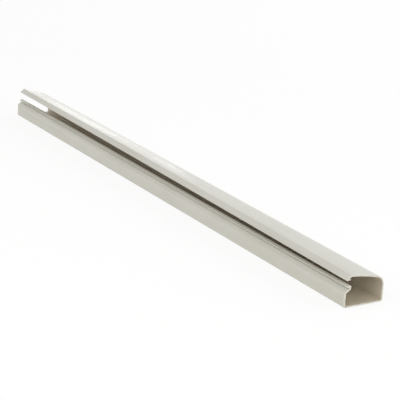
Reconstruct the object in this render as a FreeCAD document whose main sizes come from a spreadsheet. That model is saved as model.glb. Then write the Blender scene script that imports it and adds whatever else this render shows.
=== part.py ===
"""One-piece cord cover raceway: a thin plastic channel whose cover is hinged on along the back wall
and stands sprung open at the latch side, a little more at the far end than at the near one."""
import FreeCAD, Part
import os
import Sketcher

# Millimetres and degrees. X runs from latch side to hinge side, Y along the length, Z up.
SIZES = {
    "length": 304.8,
    "width": 19.05,
    "wall": 0.6,
    "foot_radius": 0.9,
    "hinge_height": 7.15,
    "hinge_radius": 4.2,
    "latch_height": 6.35,
    "jog_angle": 35.0,
    "jog_run": 2.25,
    "neck_height": 8.95,
    "crest_height": 9.2,
    "crest_width": 0.3,
    "lip_reach": 1.45,
    "lip_over_height": 8.85,
    "lip_under_height": 8.4,
    "lip_root_height": 8.55,
    "cover_flat": 13.1,
    "ridge_radius": 0.9,
    "hook_lap": 1.8,
    "hook_drop": 2.4,
    "hook_wall": 0.4,
    "catch_reach": 1.9,
    "catch_rise": 0.45,
    "open_near": 9.55,
    "open_middle": 14.15,
    "open_far": 17.05,
}

PARTS_FOLDER = "parts"
NODE = "raceway_channel"
SHEET = "Sizes"


def cell(alias):
    """Reference to one size of the sheet."""
    return f"{SHEET}.{alias}"


def make_sheet(doc):
    """Every driving size as a plain number in a cell of its own."""
    sheet = doc.addObject("Spreadsheet::Sheet", SHEET)
    for row, (alias, value) in enumerate(SIZES.items(), start=1):
        sheet.set(f"A{row}", alias)
        sheet.set(f"B{row}", str(value))
        sheet.setAlias(f"B{row}", alias)
    doc.recompute()
    return sheet


class BoundSketch:
    """A closed outline on the cross plane whose points and radii follow the sheet."""

    def __init__(self, body, name, station):
        plane = next(item for item in body.Origin.OriginFeatures if item.Role == "XZ_Plane")
        self.sketch = body.newObject("Sketcher::SketchObject", name)
        self.sketch.AttachmentSupport = [(plane, "")]
        self.sketch.MapMode = "FlatFace"
        self.sketch.setExpression("AttachmentOffset.Base.z", station)
        self.sketch.Document.recompute()

    def value(self, expression):
        """What an expression gives with the sizes as they are."""
        return float(self.sketch.evalExpression(expression))

    def outline(self, points, arcs):
        """Lines and arcs between the points; arcs maps a point's index to radius and centre."""
        places = [FreeCAD.Vector(self.value(x), self.value(z), 0) for x, z in points]
        edges = []
        for index, start in enumerate(places):
            end = places[(index + 1) % len(places)]
            if index in arcs:
                radius, centre_x, centre_z = arcs[index]
                centre = FreeCAD.Vector(self.value(centre_x), self.value(centre_z), 0)
                middle = (start + end) * 0.5 - centre
                middle.normalize()
                curve = Part.Arc(start, centre + middle * self.value(radius), end)
                edges.append(self.sketch.addGeometry(curve, False))
            else:
                edges.append(self.sketch.addGeometry(Part.LineSegment(start, end), False))
        self.join(edges, places)
        self.locate(edges, places, points)
        for index, (radius, _, _) in arcs.items():
            number = self.sketch.addConstraint(
                Sketcher.Constraint("Radius", edges[index], self.value(radius)))
            self.sketch.setExpression(f"Constraints[{number}]", radius)
        return self.sketch

    def end_at(self, edge, place):
        """Which end of an edge lies at the place: 1 for its start, 2 for its end."""
        start = self.sketch.getPoint(edge, 1)
        return 1 if start.distanceToPoint(place) < 1e-4 else 2

    def join(self, edges, places):
        for index, place in enumerate(places):
            before = edges[index - 1]
            after = edges[index]
            self.sketch.addConstraint(Sketcher.Constraint(
                "Coincident", before, self.end_at(before, place), after, self.end_at(after, place)))

    def locate(self, edges, places, points):
        for index, (x, z) in enumerate(points):
            end = self.end_at(edges[index], places[index])
            for kind, expression in (("DistanceX", x), ("DistanceY", z)):
                number = self.sketch.addConstraint(Sketcher.Constraint(
                    kind, -1, 1, edges[index], end, self.value(expression)))
                self.sketch.setExpression(f"Constraints[{number}]", expression)


def hinge_top(inset):
    """Where the hinge bend starts on the back wall, so far in from its outer face."""
    return f"({cell('width')} - {inset})", cell("hinge_height")


def cover_point(along, out, opening):
    """A point of the cover: distances along it and outwards from the hinge bend's centre."""
    centre_x, centre_z = hinge_top(cell("hinge_radius"))
    x = f"{centre_x} - ({along}) * cos({opening}) + ({out}) * sin({opening})"
    z = f"{centre_z} + ({along}) * sin({opening}) + ({out}) * cos({opening})"
    return x, z


def channel_outline():
    """Floor, latch wall with its jog and lip, and back wall up to the hinge bend."""
    wall = cell("wall")
    width = cell("width")
    foot = cell("foot_radius")
    angle = cell("jog_angle")
    run = cell("jog_run")
    top = cell("latch_height")
    neck = f"({run} + {wall})"
    crest = f"({neck} - {cell('crest_width')})"
    lip = f"({crest} - {cell('lip_reach')})"
    points = [
        hinge_top("0"),
        (width, foot),
        (f"{width} - {foot}", "0"),
        (foot, "0"),
        ("0", foot),
        ("0", top),
        (run, f"{top} + {run} * tan({angle})"),
        (run, cell("lip_root_height")),
        (lip, cell("lip_under_height")),
        (lip, cell("lip_over_height")),
        (crest, cell("crest_height")),
        (neck, cell("neck_height")),
        (neck, f"{top} + {neck} * tan({angle}) - {wall} / cos({angle})"),
        (wall, f"{top} - {wall} * (1 - sin({angle})) / cos({angle})"),
        (wall, wall),
        (f"{width} - {wall}", wall),
        hinge_top(wall),
    ]
    arcs = {
        1: (foot, f"{width} - {foot}", foot),
        3: (foot, foot, foot),
    }
    return points, arcs


def cover_outline(opening):
    """Hinge bend, flat cover, front bevel and the catch that turns back under it."""
    wall = cell("wall")
    radius = cell("hinge_radius")
    flat = cell("cover_flat")
    ridge = cell("ridge_radius")
    lap = cell("hook_lap")
    drop = cell("hook_drop")
    thin = cell("hook_wall")
    reach = cell("catch_reach")
    rise = cell("catch_rise")
    bevel = f"sqrt({lap}^2 + {drop}^2)"
    back = f"sqrt({reach}^2 + {rise}^2)"
    spread = f"(1 - ({drop} * {rise} + {lap} * {reach}) / ({bevel} * {back}))"
    root_along = f"{thin} * ({rise} / {back} - {drop} / {bevel}) / {spread}"
    root_out = f"{thin} * ({reach} / {back} - {lap} / {bevel}) / {spread}"
    trim = f"({ridge} * ({bevel} - {lap}) / {drop})"
    hook = (f"{flat} + {lap}", f"{radius} - {drop}")
    tip = (f"{hook[0]} - {reach}", f"{hook[1]} + {rise}")
    inner = f"({radius} - {wall})"
    local = [
        ("0", radius),
        (f"{flat} - {trim}", radius),
        (f"{flat} + {trim} * {lap} / {bevel}", f"{radius} - {trim} * {drop} / {bevel}"),
        hook,
        tip,
        (f"{tip[0]} + {thin} * {rise} / {back}", f"{tip[1]} + {thin} * {reach} / {back}"),
        (f"{hook[0]} + {root_along}", f"{hook[1]} + {root_out}"),
        (f"{flat} + ({lap} * {wall} - {thin} * {bevel}) / {drop}", inner),
        ("0", inner),
    ]
    points = [hinge_top("0")]
    points += [cover_point(along, out, opening) for along, out in local]
    points += [hinge_top(wall)]
    centre_x, centre_z = hinge_top(radius)
    ridge_x, ridge_z = cover_point(f"{flat} - {trim}", f"({radius} - {ridge})", opening)
    arcs = {
        0: (radius, centre_x, centre_z),
        2: (ridge, ridge_x, ridge_z),
        len(points) - 2: (inner, centre_x, centre_z),
    }
    return points, arcs


def make_channel(doc):
    """The whole extrusion as one body: straight channel first, then the cover along its hinge."""
    body = doc.addObject("PartDesign::Body", NODE)
    body.Label = NODE
    body.setExpression("Placement.Base.x", f"-{cell('width')} / 2")

    profile = BoundSketch(body, "ChannelSection", "0").outline(*channel_outline())
    profile.Label = "channel section"
    channel = body.newObject("PartDesign::Pad", "Channel")
    channel.Label = "floor, latch wall and back wall"
    channel.Profile = profile
    channel.setExpression("Length", cell("length"))
    channel.Midplane = True
    doc.recompute()

    stations = [
        ("CoverNear", "open_near", f"{cell('length')} / 2"),
        ("CoverMiddle", "open_middle", "0"),
        ("CoverFar", "open_far", f"-{cell('length')} / 2"),
    ]
    sections = []
    for name, opening, station in stations:
        drawn = BoundSketch(body, name, station).outline(*cover_outline(cell(opening)))
        drawn.Label = name
        sections.append(drawn)
    cover = body.newObject("PartDesign::AdditiveLoft", "Cover")
    cover.Label = "hinged cover with its catch"
    cover.Profile = sections[0]
    cover.Sections = sections[1:]
    cover.Ruled = False
    doc.recompute()
    return body


def check(doc):
    """Stops the build where an object is invalid or has no sound shape."""
    for item in doc.Objects:
        if "Invalid" in item.State or "Error" in item.State:
            raise RuntimeError(f"{item.Label} is not valid: {item.State}")
        shape = getattr(item, "Shape", None)
        if shape is not None and (shape.isNull() or not shape.isValid()):
            raise RuntimeError(f"{item.Label} has no sound shape")


def main():
    os.makedirs(PARTS_FOLDER, exist_ok=True)
    doc = FreeCAD.newDocument("CordCoverRaceway")
    make_sheet(doc)
    body = make_channel(doc)
    doc.recompute()
    check(doc)
    if len(body.Shape.Solids) != 1:
        raise RuntimeError("the raceway is one solid")
    body.Shape.exportStep(os.path.join(PARTS_FOLDER, f"{NODE}.step"))
    box = body.Shape.BoundBox
    print(f"{NODE}: {box.XLength:.2f} x {box.YLength:.2f} x {box.ZLength:.2f} mm")
    print(f"volume {body.Shape.Volume:.0f} mm3")


main()
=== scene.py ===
"""Looks of a one-piece latching cord cover, an ivory rigid PVC raceway sprung open at its latch.

The raceway is made as its extrusion die makes it: a flat section first, then the run along its
length, with the cover turned about its hinge bend from station to station.
"""
import logging
import math
from collections.abc import Callable
from dataclasses import dataclass, field
from enum import Enum

import bmesh
import bpy
from mathutils import Matrix, Vector


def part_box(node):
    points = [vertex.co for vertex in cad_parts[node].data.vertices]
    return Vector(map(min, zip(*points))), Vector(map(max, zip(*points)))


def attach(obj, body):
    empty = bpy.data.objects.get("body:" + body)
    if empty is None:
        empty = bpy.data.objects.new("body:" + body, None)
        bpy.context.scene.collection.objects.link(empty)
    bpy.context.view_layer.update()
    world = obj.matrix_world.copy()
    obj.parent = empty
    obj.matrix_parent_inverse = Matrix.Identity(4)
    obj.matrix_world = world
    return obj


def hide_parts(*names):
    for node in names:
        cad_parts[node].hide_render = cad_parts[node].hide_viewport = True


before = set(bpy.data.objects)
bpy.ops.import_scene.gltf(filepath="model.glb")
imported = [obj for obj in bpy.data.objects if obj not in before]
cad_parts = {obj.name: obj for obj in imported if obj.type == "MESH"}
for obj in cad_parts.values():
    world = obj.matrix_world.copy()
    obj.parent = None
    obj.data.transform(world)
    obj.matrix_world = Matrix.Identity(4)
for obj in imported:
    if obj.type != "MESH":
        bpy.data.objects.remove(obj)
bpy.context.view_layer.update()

# The solids' box, kept before the piece replaces them.
NODE = "raceway_channel"
MM = 0.001
IMAGE_PX = 400
SENSOR_MM = 36.0
NEAR_CLIP = 0.01

# A wave texture at scale 1 has one band to this much of its coordinate.
WAVE_BAND = 0.3142
# Vertices nearer than this to a place of the section are the ones meant, in millimetres.
SAME_PLACE = 0.01
# Vertices nearer than this to the hinge bend's inner face still belong to it, in millimetres.
BEND_SLACK = 0.02
# A face looks along an axis where its normal has more than this of it.
FACING = 0.5
TURN_LAYER = "turn_share"

log = logging.getLogger("cord_cover")

# A place in the section is X and Z in millimetres.
Place = tuple[float, float]
Edge = tuple[Place, Place]


class Finish(Enum):
    """The surfaces that a length of raceway shows."""

    SKIN = 0
    INNER_SKIN = 1
    SAW_CUT = 2


def linear(hex_colour: str) -> tuple[float, float, float, float]:
    """Turns an sRGB hex colour into the linear values that a shader socket takes.

    Args:
        hex_colour: Colour as RRGGBB.

    Returns:
        Linear red, green and blue, and full alpha.
    """
    channels = [int(hex_colour[place:place + 2], 16) / 255 for place in (0, 2, 4)]
    curved = [c / 12.92 if c <= 0.04045 else ((c + 0.055) / 1.055) ** 2.4 for c in channels]
    return (*curved, 1.0)


def add_node(tree: bpy.types.NodeTree, kind: str, settings: dict | None = None,
             links: dict | None = None) -> bpy.types.Node:
    """Adds one shader node.

    Args:
        tree: Node tree that takes it.
        kind: Blender's type name of the node.
        settings: Properties by name, or input values by the socket's name or number.
        links: Output sockets of other nodes, by the name or number of the input they feed.

    Returns:
        The new node.
    """
    node = tree.nodes.new(kind)
    for name, value in (settings or {}).items():
        if isinstance(name, str) and hasattr(node, name):
            setattr(node, name, value)
        else:
            node.inputs[name].default_value = value
    for name, socket in (links or {}).items():
        tree.links.new(socket, node.inputs[name])
    return node


def background_rays(tree: bpy.types.NodeTree) -> bpy.types.NodeSocket:
    """Tells the rays that see the white background from those that carry light.

    Args:
        tree: Node tree of the floor or the world.

    Returns:
        1 for camera, mirrored and transmitted rays, else 0.
    """
    path = add_node(tree, "ShaderNodeLightPath")
    seen = add_node(tree, "ShaderNodeMath", {"operation": "MAXIMUM"},
                    {0: path.outputs["Is Camera Ray"], 1: path.outputs["Is Glossy Ray"]})
    seen = add_node(tree, "ShaderNodeMath", {"operation": "MAXIMUM"},
                    {0: seen.outputs["Value"], 1: path.outputs["Is Transmission Ray"]})
    return seen.outputs["Value"]


@dataclass(frozen=True)
class ExtrudedPvc:
    """Rigid PVC, pigmented ivory, as the die and the cooling sleeve leave it.

    To the eye it is a smooth satin skin that whitens at a grazing view. Faint die lines run the
    whole length, the gloss is slightly clouded where the skin cooled unevenly, a few dull rubs come
    from the carton, and the skin is frayed white where the saw went through.
    """

    half_length: float
    name: str = "extruded rigid PVC, ivory"
    colour: str = "C7C5BB"
    die_line_colour: str = "BDBBAF"
    frayed_colour: str = "E2DFD3"
    roughness: float = 0.20
    ior: float = 1.54
    die_line_mm: float = 0.9
    die_line_stretch: float = 80.0
    die_line_depth_mm: float = 0.02
    die_line_band: tuple[float, float] = (0.12, 0.45)
    cloud_mm: float = 28.0
    cloud_band: tuple[float, float] = (0.3, 0.7)
    cloud_gloss: tuple[float, float] = (-0.03, 0.05)
    peel_mm: float = 3.0
    peel_depth_mm: float = 0.03
    relief_strength: float = 0.15
    rub_mm: float = 1.6
    rub_stretch: float = 9.0
    rub_slant: float = 7.0
    rub_band: tuple[float, float] = (0.60, 0.76)
    rub_dulling: float = 0.06
    frayed_mm: float = 0.45
    tatter_mm: float = 0.8
    frayed_dulling: float = 0.40

    def die_lines(self, tree: bpy.types.NodeTree,
                  place: bpy.types.NodeSocket) -> bpy.types.NodeSocket:
        """Draws the lines that scratches and lips of the die leave along the whole length.

        Real ones are 0.1 to 0.3 mm apart, less than the render shows, so they are drawn coarser.

        Args:
            tree: Node tree of the material.
            place: Object coordinates.

        Returns:
            Strength of the lines, about a half on average.
        """
        stretched = add_node(tree, "ShaderNodeMapping",
                             {"Scale": (1.0, 1.0 / self.die_line_stretch, 1.0)},
                             {"Vector": place})
        lines = add_node(tree, "ShaderNodeTexNoise",
                         {"Scale": 1.0 / (self.die_line_mm * MM), "Detail": 3.0,
                          "Roughness": 0.55}, {"Vector": stretched.outputs["Vector"]})
        return lines.outputs["Fac"]

    def rubs(self, tree: bpy.types.NodeTree,
             place: bpy.types.NodeSocket) -> bpy.types.NodeSocket:
        """Draws sparse dull rubs, nearly along the length, as pieces leave on each other in a box.

        Args:
            tree: Node tree of the material.
            place: Object coordinates.

        Returns:
            Where the skin is rubbed, from 0 to 1.
        """
        slanted = add_node(tree, "ShaderNodeMapping",
                           {"Rotation": (0.0, 0.0, math.radians(self.rub_slant)),
                            "Scale": (1.0, 1.0 / self.rub_stretch, 1.0)}, {"Vector": place})
        marks = add_node(tree, "ShaderNodeTexNoise",
                         {"Scale": 1.0 / (self.rub_mm * MM), "Detail": 4.0, "Roughness": 0.7,
                          "Distortion": 0.4}, {"Vector": slanted.outputs["Vector"]})
        sparse = add_node(tree, "ShaderNodeMapRange",
                          {"From Min": self.rub_band[0], "From Max": self.rub_band[1]},
                          {"Value": marks.outputs["Fac"]})
        return sparse.outputs["Result"]

    def fraying(self, tree: bpy.types.NodeTree,
                place: bpy.types.NodeSocket) -> bpy.types.NodeSocket:
        """Whitens an uneven narrow band of skin beside each saw cut.

        Args:
            tree: Node tree of the material.
            place: Object coordinates.

        Returns:
            How white the skin is, from 0 to 1.
        """
        along = add_node(tree, "ShaderNodeSeparateXYZ", links={0: place})
        from_middle = add_node(tree, "ShaderNodeMath", {"operation": "ABSOLUTE"},
                               {0: along.outputs["Y"]})
        tatter = add_node(tree, "ShaderNodeTexNoise",
                          {"Scale": 1.0 / (self.tatter_mm * MM), "Detail": 3.0},
                          {"Vector": place})
        ragged = add_node(tree, "ShaderNodeMath",
                          {"operation": "MULTIPLY_ADD", 1: self.frayed_mm * MM},
                          {0: tatter.outputs["Fac"], 2: from_middle.outputs["Value"]})
        white = add_node(tree, "ShaderNodeMapRange",
                         {"From Min": (self.half_length - 0.5 * self.frayed_mm) * MM,
                          "From Max": (self.half_length + 0.6 * self.frayed_mm) * MM},
                         {"Value": ragged.outputs["Value"]})
        return white.outputs["Result"]

    def build(self) -> bpy.types.Material:
        """Makes the material.

        Returns:
            The finished material.
        """
        material = bpy.data.materials.new(self.name)
        material.use_nodes = True
        tree = material.node_tree
        tree.nodes.clear()
        place = add_node(tree, "ShaderNodeTexCoord").outputs["Object"]
        lines = self.die_lines(tree, place)
        rubs = self.rubs(tree, place)
        white = self.fraying(tree, place)
        clouds = add_node(tree, "ShaderNodeTexNoise",
                          {"Scale": 1.0 / (self.cloud_mm * MM), "Detail": 2.0},
                          {"Vector": place}).outputs["Fac"]
        # The sleeve's orange peel is about 1 mm wide on the real skin, less than the render shows,
        # so it is drawn coarser.
        peel = add_node(tree, "ShaderNodeTexNoise",
                        {"Scale": 1.0 / (self.peel_mm * MM), "Detail": 1.0},
                        {"Vector": place}).outputs["Fac"]

        tone = add_node(tree, "ShaderNodeMath", {"operation": "MULTIPLY"}, {0: lines, 1: clouds})
        skin = add_node(tree, "ShaderNodeValToRGB", links={"Fac": tone.outputs["Value"]})
        plain, lined = skin.color_ramp.elements
        plain.position, lined.position = self.die_line_band
        plain.color, lined.color = linear(self.colour), linear(self.die_line_colour)
        colour = add_node(tree, "ShaderNodeMix",
                          {"data_type": "RGBA", 7: linear(self.frayed_colour)},
                          {0: white, 6: skin.outputs["Color"]})

        glossiest, dullest = (self.roughness + change for change in self.cloud_gloss)
        gloss = add_node(tree, "ShaderNodeMapRange",
                         {"From Min": self.cloud_band[0], "From Max": self.cloud_band[1],
                          "To Min": glossiest, "To Max": dullest},
                         {"Value": clouds})
        rubbed = add_node(tree, "ShaderNodeMath",
                          {"operation": "MULTIPLY_ADD", 1: self.rub_dulling},
                          {0: rubs, 2: gloss.outputs["Result"]})
        dulled = add_node(tree, "ShaderNodeMath",
                          {"operation": "MULTIPLY_ADD", 1: self.frayed_dulling},
                          {0: white, 2: rubbed.outputs["Value"]})

        wavy = add_node(tree, "ShaderNodeBump",
                        {"Strength": self.relief_strength, "Distance": self.peel_depth_mm * MM},
                        {"Height": peel})
        grooved = add_node(tree, "ShaderNodeBump",
                           {"Strength": self.relief_strength,
                            "Distance": self.die_line_depth_mm * MM},
                           {"Height": lines, "Normal": wavy.outputs["Normal"]})
        shader = add_node(tree, "ShaderNodeBsdfPrincipled", {"IOR": self.ior},
                          {"Base Color": colour.outputs[2],
                           "Roughness": dulled.outputs["Value"],
                           "Normal": grooved.outputs["Normal"]})
        add_node(tree, "ShaderNodeOutputMaterial", links={"Surface": shader.outputs["BSDF"]})
        return material


@dataclass(frozen=True)
class InnerPvcPaintedWarm(ExtrudedPvc):
    """The same skin inside the channel, where no sleeve smoothed it and only air cooled it.

    To the eye it is duller than the outside, with wider, stronger die lines. Its warmer colours are
    painted warm light, standing in for light that shines through the thin walls into the channel.
    """

    name: str = "extruded rigid PVC, inner skin"
    # These warmer colours are painted warm light, standing in for light that shines through the
    # thin walls into the channel.
    colour: str = "D0C7B5"
    die_line_colour: str = "C4BAA5"
    frayed_colour: str = "E1DACB"
    roughness: float = 0.34
    die_line_mm: float = 1.2


@dataclass(frozen=True)
class SawCutPvc:
    """The same PVC where a fine saw cut it to length.

    To the eye it is a paler, dull cream line round each end, scored aslant by the blade's teeth and
    whitened in patches where they tore rather than cut.
    """

    name: str = "saw-cut rigid PVC"
    colour: str = "D0CDC1"
    scored_colour: str = "C6C3B6"
    torn_colour: str = "DAD8CE"
    roughness: float = 0.72
    ior: float = 1.54
    tooth_mark_mm: float = 0.7
    tooth_mark_depth_mm: float = 0.03
    tooth_mark_strength: float = 0.4
    slant: float = 28.0
    torn_mm: float = 2.4
    torn_band: tuple[float, float] = (0.5, 0.72)

    def build(self) -> bpy.types.Material:
        """Makes the material.

        Returns:
            The finished material.
        """
        material = bpy.data.materials.new(self.name)
        material.use_nodes = True
        tree = material.node_tree
        tree.nodes.clear()
        place = add_node(tree, "ShaderNodeTexCoord").outputs["Object"]
        slant = add_node(tree, "ShaderNodeMapping",
                         {"Rotation": (0.0, math.radians(self.slant), 0.0)}, {"Vector": place})
        # A fine blade's marks are about 0.2 mm apart, less than the render shows, so they are
        # drawn coarser.
        marks = add_node(tree, "ShaderNodeTexWave",
                         {"wave_type": "BANDS", "bands_direction": "X",
                          "Scale": WAVE_BAND / (self.tooth_mark_mm * MM), "Distortion": 2.5,
                          "Detail": 2.0}, {"Vector": slant.outputs["Vector"]})
        scored = add_node(tree, "ShaderNodeValToRGB", links={"Fac": marks.outputs["Fac"]})
        groove, crest = scored.color_ramp.elements
        groove.color, crest.color = linear(self.scored_colour), linear(self.colour)
        patches = add_node(tree, "ShaderNodeTexNoise",
                           {"Scale": 1.0 / (self.torn_mm * MM), "Detail": 3.0},
                           {"Vector": place})
        torn = add_node(tree, "ShaderNodeMapRange",
                        {"From Min": self.torn_band[0], "From Max": self.torn_band[1]},
                        {"Value": patches.outputs["Fac"]})
        colour = add_node(tree, "ShaderNodeMix", {"data_type": "RGBA", 7: linear(self.torn_colour)},
                          {0: torn.outputs["Result"], 6: scored.outputs["Color"]})
        relief = add_node(tree, "ShaderNodeBump",
                          {"Strength": self.tooth_mark_strength,
                           "Distance": self.tooth_mark_depth_mm * MM},
                          {"Height": marks.outputs["Fac"]})
        shader = add_node(tree, "ShaderNodeBsdfPrincipled",
                          {"IOR": self.ior, "Roughness": self.roughness},
                          {"Base Color": colour.outputs[2], "Normal": relief.outputs["Normal"]})
        add_node(tree, "ShaderNodeOutputMaterial", links={"Surface": shader.outputs["BSDF"]})
        return material


@dataclass
class Raceway:
    """The whole raceway: floor, latch wall, back wall, hinge bend and cover in one extrusion.

    Sizes are millimetres and degrees. In the section X runs from the latch wall to the back wall
    and Z up, both from the latch side's bottom corner.
    """

    width: float
    length: float
    wall: float = 0.6
    foot_radius: float = 0.9
    hinge_height: float = 7.15
    hinge_radius: float = 4.2
    latch_height: float = 6.35
    jog_angle: float = 35.0
    jog_run: float = 2.25
    neck_height: float = 8.95
    crest_height: float = 9.2
    crest_width: float = 0.3
    lip_reach: float = 1.45
    lip_over_height: float = 8.85
    lip_under_height: float = 8.4
    lip_root_height: float = 8.55
    cover_flat: float = 13.1
    camber_radius: float = 75.0
    ridge_radius: float = 0.9
    hook_lap: float = 1.8
    hook_drop: float = 2.4
    hook_wall: float = 0.4
    catch_reach: float = 1.9
    catch_rise: float = 0.45
    open_near: float = 9.55
    open_middle: float = 14.15
    open_far: float = 17.05
    core_height: float = 5.0
    edge_round: float = 0.09
    rounded_above: float = 28.0
    smooth_below: float = 32.0
    stations: int = 16
    hinge_steps: int = 14
    camber_steps: int = 8
    foot_steps: int = 5
    ridge_steps: int = 5
    body: bpy.types.Object | None = field(init=False, default=None)

    def opening(self, share: float) -> float:
        """Angle of the cover at a share of the length, on a parabola through its three values."""
        return (self.open_near * (1 - share) * (1 - 2 * share)
                + self.open_middle * 4 * share * (1 - share)
                + self.open_far * share * (2 * share - 1))

    def hinge_centre(self) -> Place:
        """Centre of the hinge bend in the section."""
        return self.width - self.hinge_radius, self.hinge_height

    def on_cover(self, along: float, out: float) -> Place:
        """Place of a point of the cover at the near end.

        Args:
            along: Distance from the hinge bend's centre along the cover.
            out: Distance from that centre, square to the cover.

        Returns:
            The point in the section.
        """
        centre_x, centre_z = self.hinge_centre()
        sine = math.sin(math.radians(self.open_near))
        cosine = math.cos(math.radians(self.open_near))
        return centre_x - along * cosine + out * sine, centre_z + along * sine + out * cosine

    def ridge_centre(self) -> Place:
        """Centre of the ridge's bend, along the cover and out from the hinge bend's centre."""
        slant = math.hypot(self.hook_lap, self.hook_drop)
        trim = self.ridge_radius * (slant - self.hook_lap) / self.hook_drop
        return self.cover_flat - trim, self.hinge_radius - self.ridge_radius

    def camber_centre(self) -> Place:
        """Centre of the cover's slight camber, which runs smoothly out of both its bends."""
        ridge_along, ridge_out = self.ridge_centre()
        apart = math.hypot(ridge_along, ridge_out)
        to_hinge = self.camber_radius - self.hinge_radius
        to_ridge = self.camber_radius - self.ridge_radius
        level = (to_hinge ** 2 - to_ridge ** 2 + apart ** 2) / (2 * apart)
        below = math.sqrt(to_hinge ** 2 - level ** 2)
        return ((level * ridge_along + below * ridge_out) / apart,
                (level * ridge_out - below * ridge_along) / apart)

    def camber_turn(self, onto: Place) -> float:
        """Angle of the camber where it meets a bend of the cover, in degrees from square.

        Args:
            onto: Centre of that bend, along the cover and out.

        Returns:
            The angle, positive towards the ridge.
        """
        centre = self.camber_centre()
        return math.degrees(math.atan2(onto[0] - centre[0], onto[1] - centre[1]))

    def hinge_turn(self) -> float:
        """Turn of the hinge bend at the near end, up to where the camber takes over."""
        return 90 - self.open_near + self.camber_turn((0.0, 0.0))

    def select(self, chosen: Callable[[bmesh.types.BMVert], bool]) -> None:
        """Selects, in edit mode, the vertices that a test picks.

        Args:
            chosen: Says of a vertex whether it is selected.
        """
        bpy.ops.mesh.select_all(action="DESELECT")
        mesh = bmesh.from_edit_mesh(self.body.data)
        for vertex in mesh.verts:
            vertex.select = chosen(vertex)
        mesh.select_flush_mode()
        bmesh.update_edit_mesh(self.body.data)

    def select_places(self, *places: Place) -> None:
        """Selects the vertices of the flat section that lie at the places."""
        self.select(lambda v: any(math.hypot(v.co.x - x, v.co.z - z) < SAME_PLACE
                                  for x, z in places))

    def grow(self, edge: Edge, onto: Edge) -> None:
        """Extrudes an edge of the flat section and sets its two new ends.

        Args:
            edge: Ends of the edge that grows.
            onto: Where those ends come to lie.
        """
        (start_x, start_z), (end_x, end_z) = edge
        shift_x, shift_z = onto[0][0] - start_x, onto[0][1] - start_z
        self.select_places(*edge)
        bpy.ops.mesh.extrude_region_move(TRANSFORM_OT_translate={"value": (shift_x, 0, shift_z)})
        end_x, end_z = end_x + shift_x, end_z + shift_z
        self.select_places((end_x, end_z))
        bpy.ops.transform.translate(value=(onto[1][0] - end_x, 0, onto[1][1] - end_z))

    def bend(self, edge: Edge, centre: Place, degrees: float, steps: int) -> None:
        """Spins an edge of the flat section round a centre.

        Args:
            edge: Ends of the edge.
            centre: Centre of the bend.
            degrees: Turn in the section, positive from X towards Z.
            steps: Number of faces along the bend.
        """
        self.select_places(*edge)
        bpy.ops.mesh.spin(steps=steps, angle=math.radians(degrees),
                          center=(centre[0], 0, centre[1]), axis=(0, 1, 0))

    def draw_latch_wall(self) -> None:
        """Draws the front foot bend, the wall, its inward jog and the lip that turns outwards."""
        wall, foot, run = self.wall, self.foot_radius, self.jog_run
        slope = math.tan(math.radians(self.jog_angle))
        mitre = wall * math.tan(math.radians(45 - self.jog_angle / 2))
        neck = run + wall
        crest = neck - self.crest_width
        lip = crest - self.lip_reach
        self.bend(((foot, 0), (foot, wall)), (foot, foot), -90, self.foot_steps)
        rising = ((0, foot), (wall, foot))
        knee = ((0, self.latch_height), (wall, self.latch_height - mitre))
        throat = tuple((x + run, z + run * slope) for x, z in knee)
        collar = ((run, self.lip_root_height), (neck, self.neck_height))
        under = ((run + lip) / 2, (self.lip_root_height + self.lip_under_height) / 2)
        top = (under, (crest, self.crest_height))
        self.grow(rising, knee)
        self.grow(knee, throat)
        self.grow(throat, collar)
        self.grow(collar, top)
        self.grow(top, ((lip, self.lip_under_height), (lip, self.lip_over_height)))

    def draw_back_wall(self) -> None:
        """Draws the back foot bend, the back wall and the hinge bend."""
        wall, foot, width = self.wall, self.foot_radius, self.width
        self.bend(((width - foot, 0), (width - foot, wall)), (width - foot, foot), 90,
                  self.foot_steps)
        rising = ((width, foot), (width - wall, foot))
        top = ((width, self.hinge_height), (width - wall, self.hinge_height))
        self.grow(rising, top)
        self.bend(top, self.hinge_centre(), self.hinge_turn(), self.hinge_steps)

    def draw_cover(self) -> None:
        """Draws the cover from the hinge bend to its front bevel and the catch under it."""
        radius, wall, flat, thin = self.hinge_radius, self.wall, self.cover_flat, self.hook_wall
        bevel = math.hypot(self.hook_lap, self.hook_drop)
        back = math.hypot(self.catch_reach, self.catch_rise)
        lapped = self.hook_drop * self.catch_rise + self.hook_lap * self.catch_reach
        spread = 1 - lapped / (bevel * back)
        hook = (flat + self.hook_lap, radius - self.hook_drop)
        root = (hook[0] + thin * (self.catch_rise / back - self.hook_drop / bevel) / spread,
                hook[1] + thin * (self.catch_reach / back - self.hook_lap / bevel) / spread)
        tip = (hook[0] - self.catch_reach, hook[1] + self.catch_rise)
        tip_top = (tip[0] + thin * self.catch_rise / back, tip[1] + thin * self.catch_reach / back)
        before, ridge_out = self.ridge_centre()
        trim = flat - before
        after = (flat + trim * self.hook_lap / bevel, radius - trim * self.hook_drop / bevel)
        inward = (-self.hook_drop / bevel, -self.hook_lap / bevel)
        taper = (after[0] + wall * self.hook_lap / bevel, after[1] - wall * self.hook_drop / bevel)
        first = math.radians(self.camber_turn((0.0, 0.0)))
        last = math.radians(self.camber_turn((before, ridge_out)))
        pairs = [
            tuple((r * math.sin(first), r * math.cos(first)) for r in (radius, radius - wall)),
            tuple((before + r * math.sin(last), ridge_out + r * math.cos(last))
                  for r in (self.ridge_radius, self.ridge_radius - wall)),
            (after, (after[0] + wall * inward[0], after[1] + wall * inward[1])),
            (taper, (taper[0] + thin * inward[0], taper[1] + thin * inward[1])),
            (hook, root),
            (tip, tip_top),
        ]
        placed = [tuple(self.on_cover(*end) for end in pair) for pair in pairs]
        self.bend(placed[0], self.on_cover(*self.camber_centre()), math.degrees(last - first),
                  self.camber_steps)
        self.bend(placed[1], self.on_cover(before, ridge_out),
                  math.degrees(math.acos(self.hook_lap / bevel) - last), self.ridge_steps)
        for start, end in zip(placed[2:], placed[3:]):
            self.grow(start, end)

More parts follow.
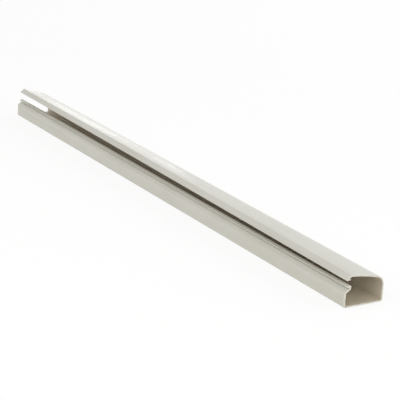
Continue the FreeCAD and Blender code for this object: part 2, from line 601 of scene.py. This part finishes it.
    def draw_section(self) -> None:
        """Draws the flat section at the near end, starting from the floor."""
        bpy.ops.object.select_all(action="DESELECT")
        bpy.ops.mesh.primitive_plane_add(size=1.0, rotation=(math.pi / 2, 0, 0))
        self.body = bpy.context.active_object
        self.body.name = "pvc_raceway"
        bpy.ops.object.transform_apply(location=True, rotation=True, scale=True)
        bpy.ops.object.mode_set(mode="EDIT")
        bpy.ops.mesh.select_mode(type="VERT")
        bpy.ops.mesh.select_all(action="SELECT")
        bpy.ops.transform.resize(value=(self.width - 2 * self.foot_radius, 1, self.wall))
        bpy.ops.transform.translate(value=(self.width / 2, 0, self.wall / 2))
        self.draw_latch_wall()
        self.draw_back_wall()
        self.draw_cover()

    def mark_turn(self) -> None:
        """Notes on each vertex its share of the cover's turn: 0 on the channel, 1 on the cover."""
        centre_x, centre_z = self.hinge_centre()
        inner = self.hinge_radius - self.wall - BEND_SLACK
        mesh = bmesh.from_edit_mesh(self.body.data)
        share = mesh.verts.layers.float.new(TURN_LAYER)
        for vertex in mesh.verts:
            over_x, over_z = vertex.co.x - centre_x, vertex.co.z - centre_z
            angle = math.degrees(math.atan2(over_z, over_x))
            if over_z > 0 and angle < self.hinge_turn() and math.hypot(over_x, over_z) > inner:
                vertex[share] = angle / self.hinge_turn()
            elif vertex.co.z > self.crest_height + SAME_PLACE:
                vertex[share] = 1.0
        bmesh.update_edit_mesh(self.body.data)

    def select_turning(self, least: float, beyond: float) -> None:
        """Selects what turns by at least a share of the cover's turn.

        Args:
            least: Smallest share that is selected.
            beyond: Distance along the length from which vertices are selected.
        """
        mesh = bmesh.from_edit_mesh(self.body.data)
        share = mesh.verts.layers.float[TURN_LAYER]
        self.select(lambda v: v.co.y > beyond and v[share] >= least)

    def run_out(self) -> None:
        """Runs the section along the length and opens the cover a little more at each station."""
        step = self.length / self.stations
        centre_x, centre_z = self.hinge_centre()
        self.mark_turn()
        bpy.ops.mesh.select_all(action="SELECT")
        for station in range(1, self.stations + 1):
            shares = (station - 1) / self.stations, station / self.stations
            turn = math.radians(self.opening(shares[1]) - self.opening(shares[0]))
            bpy.ops.mesh.extrude_region_move(TRANSFORM_OT_translate={"value": (0, step, 0)})
            beyond = step * (station - 0.5)
            for ring in range(1, self.hinge_steps + 1):
                self.select_turning((ring - 0.5) / self.hinge_steps, beyond)
                bpy.ops.transform.rotate(value=-turn / self.hinge_steps, orient_axis="Y",
                                         center_override=(centre_x, step * station, centre_z))
            self.select(lambda v: v.co.y > beyond)

    def finish_mesh(self) -> None:
        """Rounds the sharp edges and brings the mesh, in metres, to its place in the frame."""
        bpy.ops.mesh.select_all(action="SELECT")
        bpy.ops.mesh.normals_make_consistent(inside=False)
        bpy.ops.transform.translate(value=(-self.width / 2, -self.length / 2, 0))
        bpy.ops.object.mode_set(mode="OBJECT")
        self.body.scale = (MM, MM, MM)
        bpy.ops.object.transform_apply(location=True, rotation=True, scale=True)
        rounding = self.body.modifiers.new("edge round", "BEVEL")
        rounding.width = self.edge_round * MM
        rounding.segments = 2
        rounding.limit_method = "ANGLE"
        rounding.angle_limit = math.radians(self.rounded_above)
        rounding.use_clamp_overlap = False
        bpy.ops.object.modifier_apply(modifier=rounding.name)
        bpy.ops.object.shade_smooth_by_angle(angle=math.radians(self.smooth_below))
        # Flat faces keep their own normals, so the bends carry all of the turn as on the real skin.
        flatness = self.body.modifiers.new("flat faces", "WEIGHTED_NORMAL")
        flatness.keep_sharp = True
        flatness.weight = 100
        bpy.ops.object.modifier_apply(modifier=flatness.name)

    def finish_of(self, centre: Vector, normal: Vector) -> Finish:
        """Tells the finish of a face from its place and direction.

        Args:
            centre: Middle of the face.
            normal: Direction that the face looks in.

        Returns:
            The saw cut for the two ends, the inner skin, with its painted warm light, round the
            cords' space, else the skin.
        """
        if abs(normal.y) > FACING:
            return Finish.SAW_CUT
        core = Vector((0.0, centre.y, self.core_height * MM))
        lip_base = self.lip_under_height - self.edge_round - SAME_PLACE
        at_lip = lip_base * MM < centre.z < self.crest_height * MM
        # Faces that look into the channel get the inner skin with its painted warm light.
        if normal.dot(core - centre) > 0 and not (at_lip and normal.z < -FACING):
            return Finish.INNER_SKIN
        return Finish.SKIN

    def dress(self) -> None:
        """Gives the skin, the painted-warm inner skin and the two cut ends their finishes."""
        half = self.length / 2
        for finish in (ExtrudedPvc(half), InnerPvcPaintedWarm(half), SawCutPvc()):
            self.body.data.materials.append(finish.build())
        for face in self.body.data.polygons:
            face.material_index = self.finish_of(face.center, face.normal).value

    def build(self) -> bpy.types.Object:
        """Models and dresses the raceway and lets it stand for its CAD node.

        Returns:
            The finished piece.
        """
        self.draw_section()
        self.run_out()
        self.finish_mesh()
        self.dress()
        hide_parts(NODE)
        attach(self.body, "root")
        return self.body


@dataclass(frozen=True)
class Softbox:
    """One soft studio lamp. Place, width and height in millimetres, strength in watts."""

    name: str
    place: tuple[float, float, float]
    width: float
    height: float
    watts: float
    target: tuple[float, float, float] = (0.0, 0.0, 0.0)

    def build(self) -> bpy.types.Object:
        """Makes the lamp, facing its target.

        Returns:
            The lamp.
        """
        data = bpy.data.lights.new(self.name, "AREA")
        data.shape = "RECTANGLE"
        data.size = self.width * MM
        data.size_y = self.height * MM
        data.energy = self.watts
        lamp = bpy.data.objects.new(self.name, data)
        bpy.context.scene.collection.objects.link(lamp)
        lamp.location = Vector(self.place) * MM
        towards = Vector(self.target) * MM - lamp.location
        lamp.rotation_euler = towards.to_track_quat("-Z", "Y").to_euler()
        lamp.visible_camera = False
        return lamp


@dataclass
class Studio:
    """White floor, white surroundings, soft lamps and the photograph's camera."""

    floor_size: float = 6000.0
    world_level: float = 0.40
    floor_shade: float = 0.16
    shade_near: float = 200.0
    shade_far: float = 1000.0
    camera_place: tuple[float, float, float] = (-349.79, -582.31, 219.96)
    camera_yaw: float = 32.22
    camera_pitch: float = 18.15
    camera_roll: float = 3.31
    focal_px: float = 1496.4
    lamps: tuple[Softbox, ...] = (
        Softbox("near end softbox", (0.0, -900.0, 480.0), 1400.0, 600.0, 3.95),
        Softbox("latch side softbox", (-700.0, 0.0, 570.0), 1200.0, 700.0, 4.45),
        Softbox("hinge side softbox", (750.0, 0.0, 450.0), 1200.0, 700.0, 4.2),
        Softbox("low strip behind the far end", (436.1, 938.7, 41.4), 400.0, 50.0, 0.101,
                (0.0, 152.0, 10.0)),
    )

    def build_floor(self) -> None:
        """Lays a pale floor that shows white and keeps the shadow of the raceway."""
        bpy.ops.object.select_all(action="DESELECT")
        bpy.ops.mesh.primitive_grid_add(x_subdivisions=4, y_subdivisions=4,
                                        size=self.floor_size * MM)
        floor = bpy.context.active_object
        floor.name = "studio_floor"
        material = bpy.data.materials.new("white paper sweep")
        material.use_nodes = True
        tree = material.node_tree
        tree.nodes.clear()
        # The shadow is kept near the raceway and fades out before the horizon.
        place = add_node(tree, "ShaderNodeTexCoord")
        away = add_node(tree, "ShaderNodeVectorMath", {"operation": "LENGTH"},
                        {0: place.outputs["Object"]})
        white_share = add_node(tree, "ShaderNodeMapRange",
                               {"From Min": self.shade_near * MM, "From Max": self.shade_far * MM,
                                "To Min": 1 - self.floor_shade, "To Max": 1.0},
                               {"Value": away.outputs["Value"]})
        share = add_node(tree, "ShaderNodeMath", {"operation": "MULTIPLY"},
                         {0: background_rays(tree), 1: white_share.outputs["Result"]})
        paper = add_node(tree, "ShaderNodeBsdfDiffuse", {"Color": linear("FAFAF8")})
        white = add_node(tree, "ShaderNodeEmission", {"Strength": 1.0})
        mixed = add_node(tree, "ShaderNodeMixShader",
                         links={0: share.outputs["Value"], 1: paper.outputs["BSDF"],
                                2: white.outputs["Emission"]})
        add_node(tree, "ShaderNodeOutputMaterial", links={"Surface": mixed.outputs["Shader"]})
        floor.data.materials.append(material)

    def build_world(self) -> None:
        """Surrounds the scene with soft even light that the camera sees as white."""
        world = bpy.data.worlds.new("white studio")
        bpy.context.scene.world = world
        world.use_nodes = True
        tree = world.node_tree
        tree.nodes.clear()
        level = add_node(tree, "ShaderNodeMapRange",
                         {"To Min": self.world_level, "To Max": 1.0},
                         {"Value": background_rays(tree)})
        glow = add_node(tree, "ShaderNodeBackground", {"Color": linear("FFFFFF")},
                        {"Strength": level.outputs["Result"]})
        add_node(tree, "ShaderNodeOutputWorld", links={"Surface": glow.outputs["Background"]})

    def build_camera(self) -> None:
        """Sets the camera at the photograph's place, turn and angle of view."""
        yaw, pitch, roll = (math.radians(a) for a in
                            (self.camera_yaw, self.camera_pitch, self.camera_roll))
        ahead = Vector((math.sin(yaw) * math.cos(pitch), math.cos(yaw) * math.cos(pitch),
                        -math.sin(pitch)))
        right = Vector((math.cos(yaw), -math.sin(yaw), 0.0))
        up = right.cross(ahead)
        right, up = (math.cos(roll) * right + math.sin(roll) * up,
                     math.cos(roll) * up - math.sin(roll) * right)
        data = bpy.data.cameras.new("photo camera")
        data.sensor_width = SENSOR_MM
        data.lens = self.focal_px / IMAGE_PX * SENSOR_MM
        data.clip_start = NEAR_CLIP
        camera = bpy.data.objects.new("photo camera", data)
        turned = Matrix((right, up, -ahead)).transposed().to_4x4()
        turned.translation = Vector(self.camera_place) * MM
        camera.matrix_world = turned
        bpy.context.scene.collection.objects.link(camera)
        bpy.context.scene.camera = camera

    def build(self) -> None:
        """Makes the whole studio."""
        self.build_floor()
        self.build_world()
        for lamp in self.lamps:
            lamp.build()
        self.build_camera()
        bpy.context.scene.view_settings.view_transform = "Standard"


def main() -> None:
    """Builds the raceway and the studio."""
    logging.basicConfig(level=logging.INFO, format="%(message)s")
    low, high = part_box(NODE)
    raceway = Raceway(width=(high.x - low.x) / MM, length=(high.y - low.y) / MM)
    piece = raceway.build()
    log.info("%s: %d faces, %.1f x %.1f mm", piece.name, len(piece.data.polygons),
             raceway.width, raceway.length)
    studio = Studio()
    studio.build()
    log.info("studio: floor, world, %d lamps and camera", len(studio.lamps))


if __name__ == "__main__":
    main()
